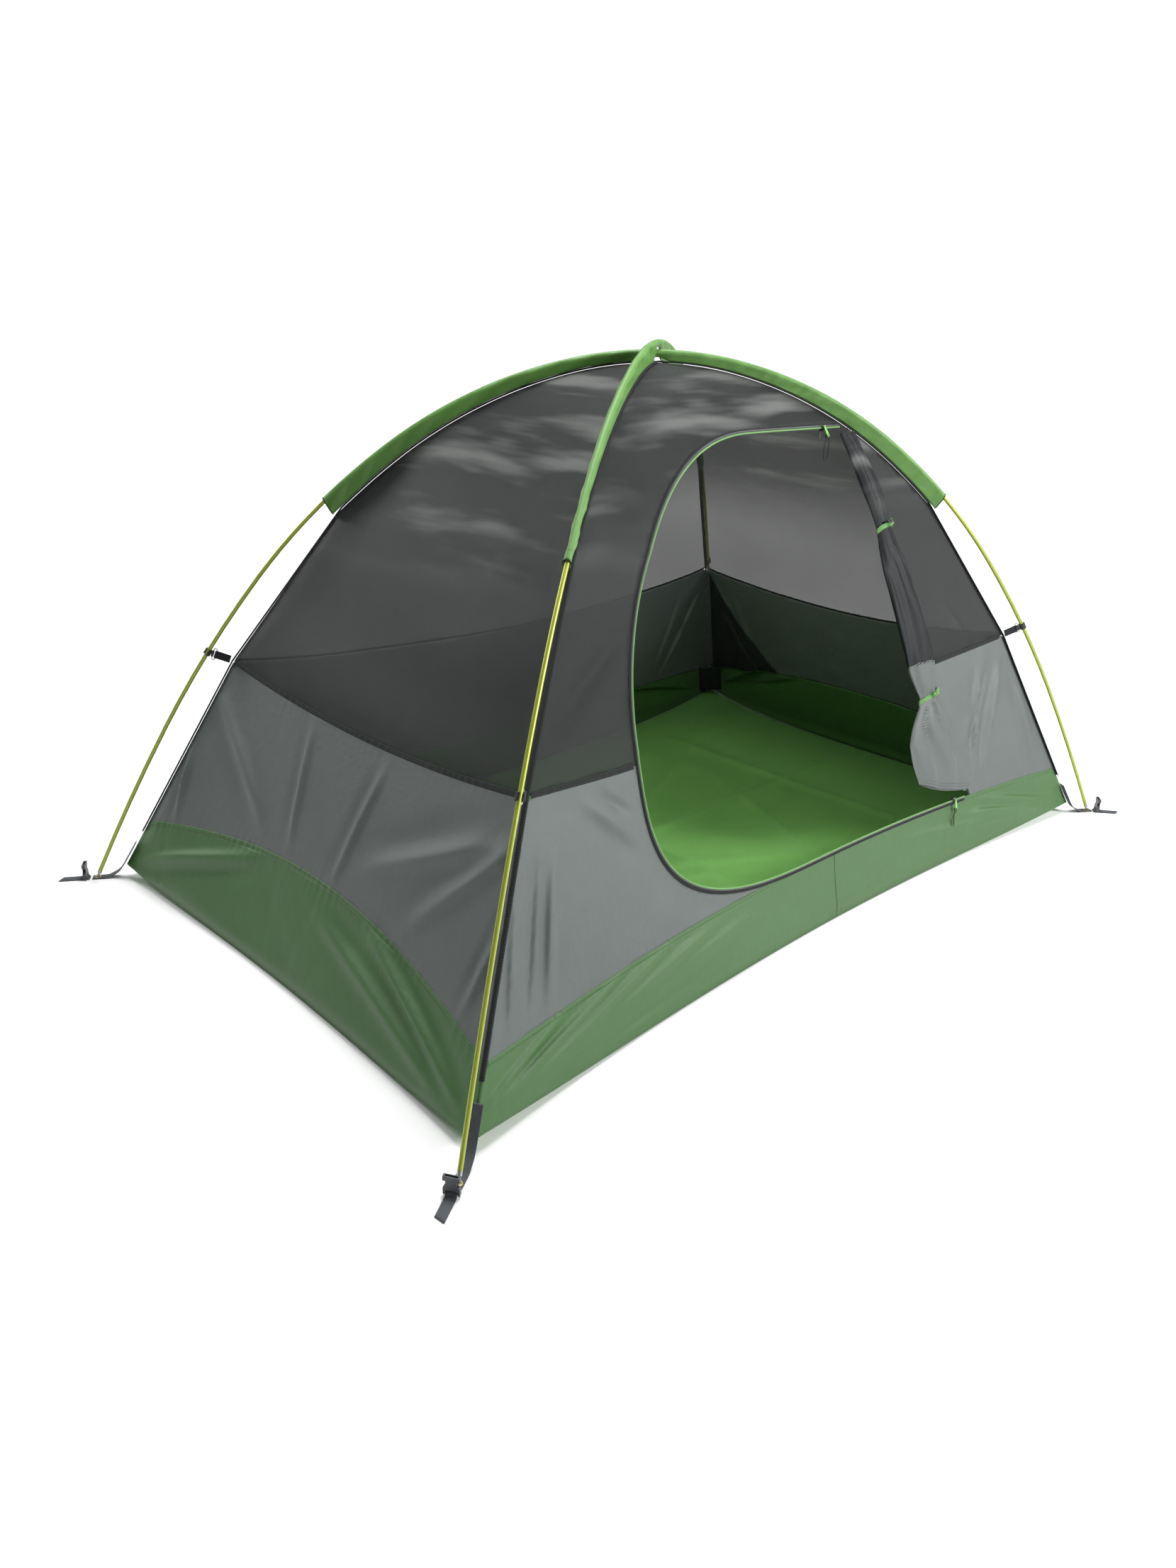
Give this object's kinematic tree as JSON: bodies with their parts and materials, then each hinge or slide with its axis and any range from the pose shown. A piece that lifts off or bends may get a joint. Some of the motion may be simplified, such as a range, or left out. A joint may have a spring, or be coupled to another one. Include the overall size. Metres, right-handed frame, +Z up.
{
  "type": "dome tent",
  "caption": "Freestanding dome tent on crossed poles: netting top, cloth walls, tub floor, and a D door rolled back and tied at its side.",
  "frame": {"origin": "on the ground under the middle of the tent", "axes": "+X along the long side, the door on the -Y side, +Z up"},
  "size_m": [2.2339, 1.429, 1.1466],
  "materials": {
    "pole_tube": "anodised yellow-green tube, satin",
    "bare_metal": "turned, satin",
    "elastic_cord": "woven cover over rubber",
    "floor_cloth": "coated plain weave, slightly shiny",
    "tub_cloth": "coated plain weave, slightly shiny",
    "wall_cloth": "light ripstop, matt",
    "netting": "fine dark insect netting",
    "sleeve_cloth": "green sleeve cloth",
    "binding_tape": "woven binding tape",
    "zip_tape": "pale green zip tape with a nylon coil",
    "tie_ribbon": "flat woven ribbon",
    "toggle_dark": "moulded",
    "toggle_green": "moulded",
    "slider_metal": "cast, lacquered",
    "pull_green": "lacquered",
    "pull_dark": "lacquered",
    "cord_dark": "braided cord",
    "cord_green": "braided cord",
    "webbing": "woven webbing",
    "eyelet_metal": "rolled eyelet",
    "buckle_plastic": "moulded, fine grain",
    "clip_strap": "woven webbing",
    "clip_ring": "plated wire",
    "clip_plastic": "moulded"
  },
  "bodies": {
    "root": {"pole_tip_sections": "pole_tube", "pole_lower_sections": "pole_tube", "pole_upper_sections": "pole_tube", "pole_shoulder_sections": "pole_tube", "pole_middle_sections": "pole_tube", "pole_ferrules": "bare_metal", "pole_tips": "bare_metal", "shock_cords": "elastic_cord", "floor": "floor_cloth", "tub_wall_front": "tub_cloth", "tub_wall_back": "tub_cloth", "tub_wall_left": "tub_cloth", "tub_wall_right": "tub_cloth", "lower_wall_front": "wall_cloth", "lower_wall_back": "wall_cloth", "lower_wall_left": "wall_cloth", "lower_wall_right": "wall_cloth", "mesh_panel_front": "netting", "mesh_panel_back": "netting", "mesh_panel_left": "netting", "mesh_panel_right": "netting", "pole_sleeve_under": "sleeve_cloth", "pole_sleeve_over": "sleeve_cloth", "ridge_binding": "binding_tape", "wall_binding": "binding_tape", "corner_pocket": "netting", "gear_pockets": "netting", "door_zip_tape": "zip_tape", "corner_webbing": "webbing", "corner_eyelets": "eyelet_metal"},
    "buckle_front_right": {"buckle_front_right": "buckle_plastic"},
    "pole_clip_front_right": {"clip_strap_front_right": "clip_strap", "clip_ring_front_right": "clip_ring", "pole_clip_front_right": "clip_plastic"},
    "buckle_front_left": {"buckle_front_left": "buckle_plastic"},
    "pole_clip_front_left": {"clip_strap_front_left": "clip_strap", "clip_ring_front_left": "clip_ring", "pole_clip_front_left": "clip_plastic"},
    "buckle_back_left": {"buckle_back_left": "buckle_plastic"},
    "pole_clip_back_left": {"clip_strap_back_left": "clip_strap", "clip_ring_back_left": "clip_ring", "pole_clip_back_left": "clip_plastic"},
    "buckle_back_right": {"buckle_back_right": "buckle_plastic"},
    "pole_clip_back_right": {"clip_strap_back_right": "clip_strap", "clip_ring_back_right": "clip_ring", "pole_clip_back_right": "clip_plastic"},
    "zip_slider_upper": {"zip_slider_upper": "slider_metal"},
    "upper_pull_outer": {"upper_pull_outer": "pull_green", "upper_pull_cord": "cord_dark"},
    "upper_pull_inner": {"upper_pull_inner": "pull_dark"},
    "zip_slider_lower": {"zip_slider_lower": "slider_metal"},
    "lower_pull": {"lower_pull": "pull_green", "lower_pull_cord": "cord_green"},
    "door_roll": {"door_roll_mesh": "netting", "door_roll_wall": "wall_cloth", "door_tie_upper": "tie_ribbon", "door_tie_lower": "tie_ribbon"},
    "tie_toggle_lower": {"tie_toggle_lower": "toggle_green"},
    "tie_toggle_upper": {"tie_toggle_upper": "toggle_dark"}
  },
  "joints": [
    {"name": "buckle_swing_front_right", "type": "hinge", "parent": "root", "child": "buckle_front_right", "pos_m": [1.06481, -0.67254, 0.0054], "axis": [0.787, 0.617, 0], "range_deg": [-25, 60]},
    {"name": "clip_swing_front_right", "type": "hinge", "parent": "root", "child": "pole_clip_front_right", "pos_m": [0.76867, -0.47852, 0.49354], "axis": [-0.5285, -0.8489, 0], "range_deg": [-1.8, 1.8]},
    {"name": "buckle_swing_front_left", "type": "hinge", "parent": "root", "child": "buckle_front_left", "pos_m": [-1.07037, -0.66634, 0.0054], "axis": [0.5285, -0.8489, 0], "range_deg": [-25, 60]},
    {"name": "clip_swing_front_left", "type": "hinge", "parent": "root", "child": "pole_clip_front_left", "pos_m": [-0.76867, -0.47852, 0.49354], "axis": [-0.5285, 0.8489, 0], "range_deg": [-1.8, 1.8]},
    {"name": "buckle_swing_back_left", "type": "hinge", "parent": "root", "child": "buckle_back_left", "pos_m": [-1.07037, 0.66634, 0.0054], "axis": [-0.5285, -0.8489, 0], "range_deg": [-25, 60]},
    {"name": "clip_swing_back_left", "type": "hinge", "parent": "root", "child": "pole_clip_back_left", "pos_m": [-0.76867, 0.47852, 0.49354], "axis": [0.5285, 0.8489, 0], "range_deg": [-1.8, 1.8]},
    {"name": "buckle_swing_back_right", "type": "hinge", "parent": "root", "child": "buckle_back_right", "pos_m": [1.06841, 0.66905, 0.0054], "axis": [-0.6415, 0.7671, 0], "range_deg": [-25, 60]},
    {"name": "clip_swing_back_right", "type": "hinge", "parent": "root", "child": "pole_clip_back_right", "pos_m": [0.76867, 0.47852, 0.49354], "axis": [0.5285, -0.8489, 0], "range_deg": [-1.8, 1.8]},
    {"name": "slider_travel_upper", "type": "slide", "parent": "root", "child": "zip_slider_upper", "axis": [-0.9949, 0.101, 0], "range_m": [0, 0.05]},
    {"name": "pull_swing_upper_outer", "type": "hinge", "parent": "zip_slider_upper", "child": "upper_pull_outer", "pos_m": [0.29263, -0.22763, 0.98016], "axis": [-0.9949, 0.101, 0], "range_deg": [0, 120]},
    {"name": "pull_swing_upper_inner", "type": "hinge", "parent": "zip_slider_upper", "child": "upper_pull_inner", "pos_m": [0.29372, -0.21688, 0.9719], "axis": [0.9949, -0.101, 0], "range_deg": [-30, 90]},
    {"name": "slider_travel_lower", "type": "slide", "parent": "root", "child": "zip_slider_lower", "axis": [-0.9968, 0.0777, 0.0179], "range_m": [0, 0.05]},
    {"name": "pull_swing_lower", "type": "hinge", "parent": "zip_slider_lower", "child": "lower_pull", "pos_m": [0.52093, -0.54824, 0.14375], "axis": [-0.9968, 0.0777, 0.0179], "range_deg": [0, 130]},
    {"name": "door_roll_swing", "type": "hinge", "parent": "root", "child": "door_roll", "pos_m": [0.5859, -0.54661, 0.13993], "axis": [-0.2323, 0.3434, 0.91], "range_deg": [0, 12]},
    {"name": "toggle_turn_lower", "type": "hinge", "parent": "door_roll", "child": "tie_toggle_lower", "pos_m": [0.46579, -0.48613, 0.40647], "axis": [0.5039, -0.5259, 0.6852], "range_deg": [-18, 35]},
    {"name": "toggle_turn_upper", "type": "hinge", "parent": "door_roll", "child": "tie_toggle_upper", "pos_m": [0.38897, -0.35884, 0.78655], "axis": [0.4355, -0.4018, 0.8055], "range_deg": [-18, 35]}
  ]
}
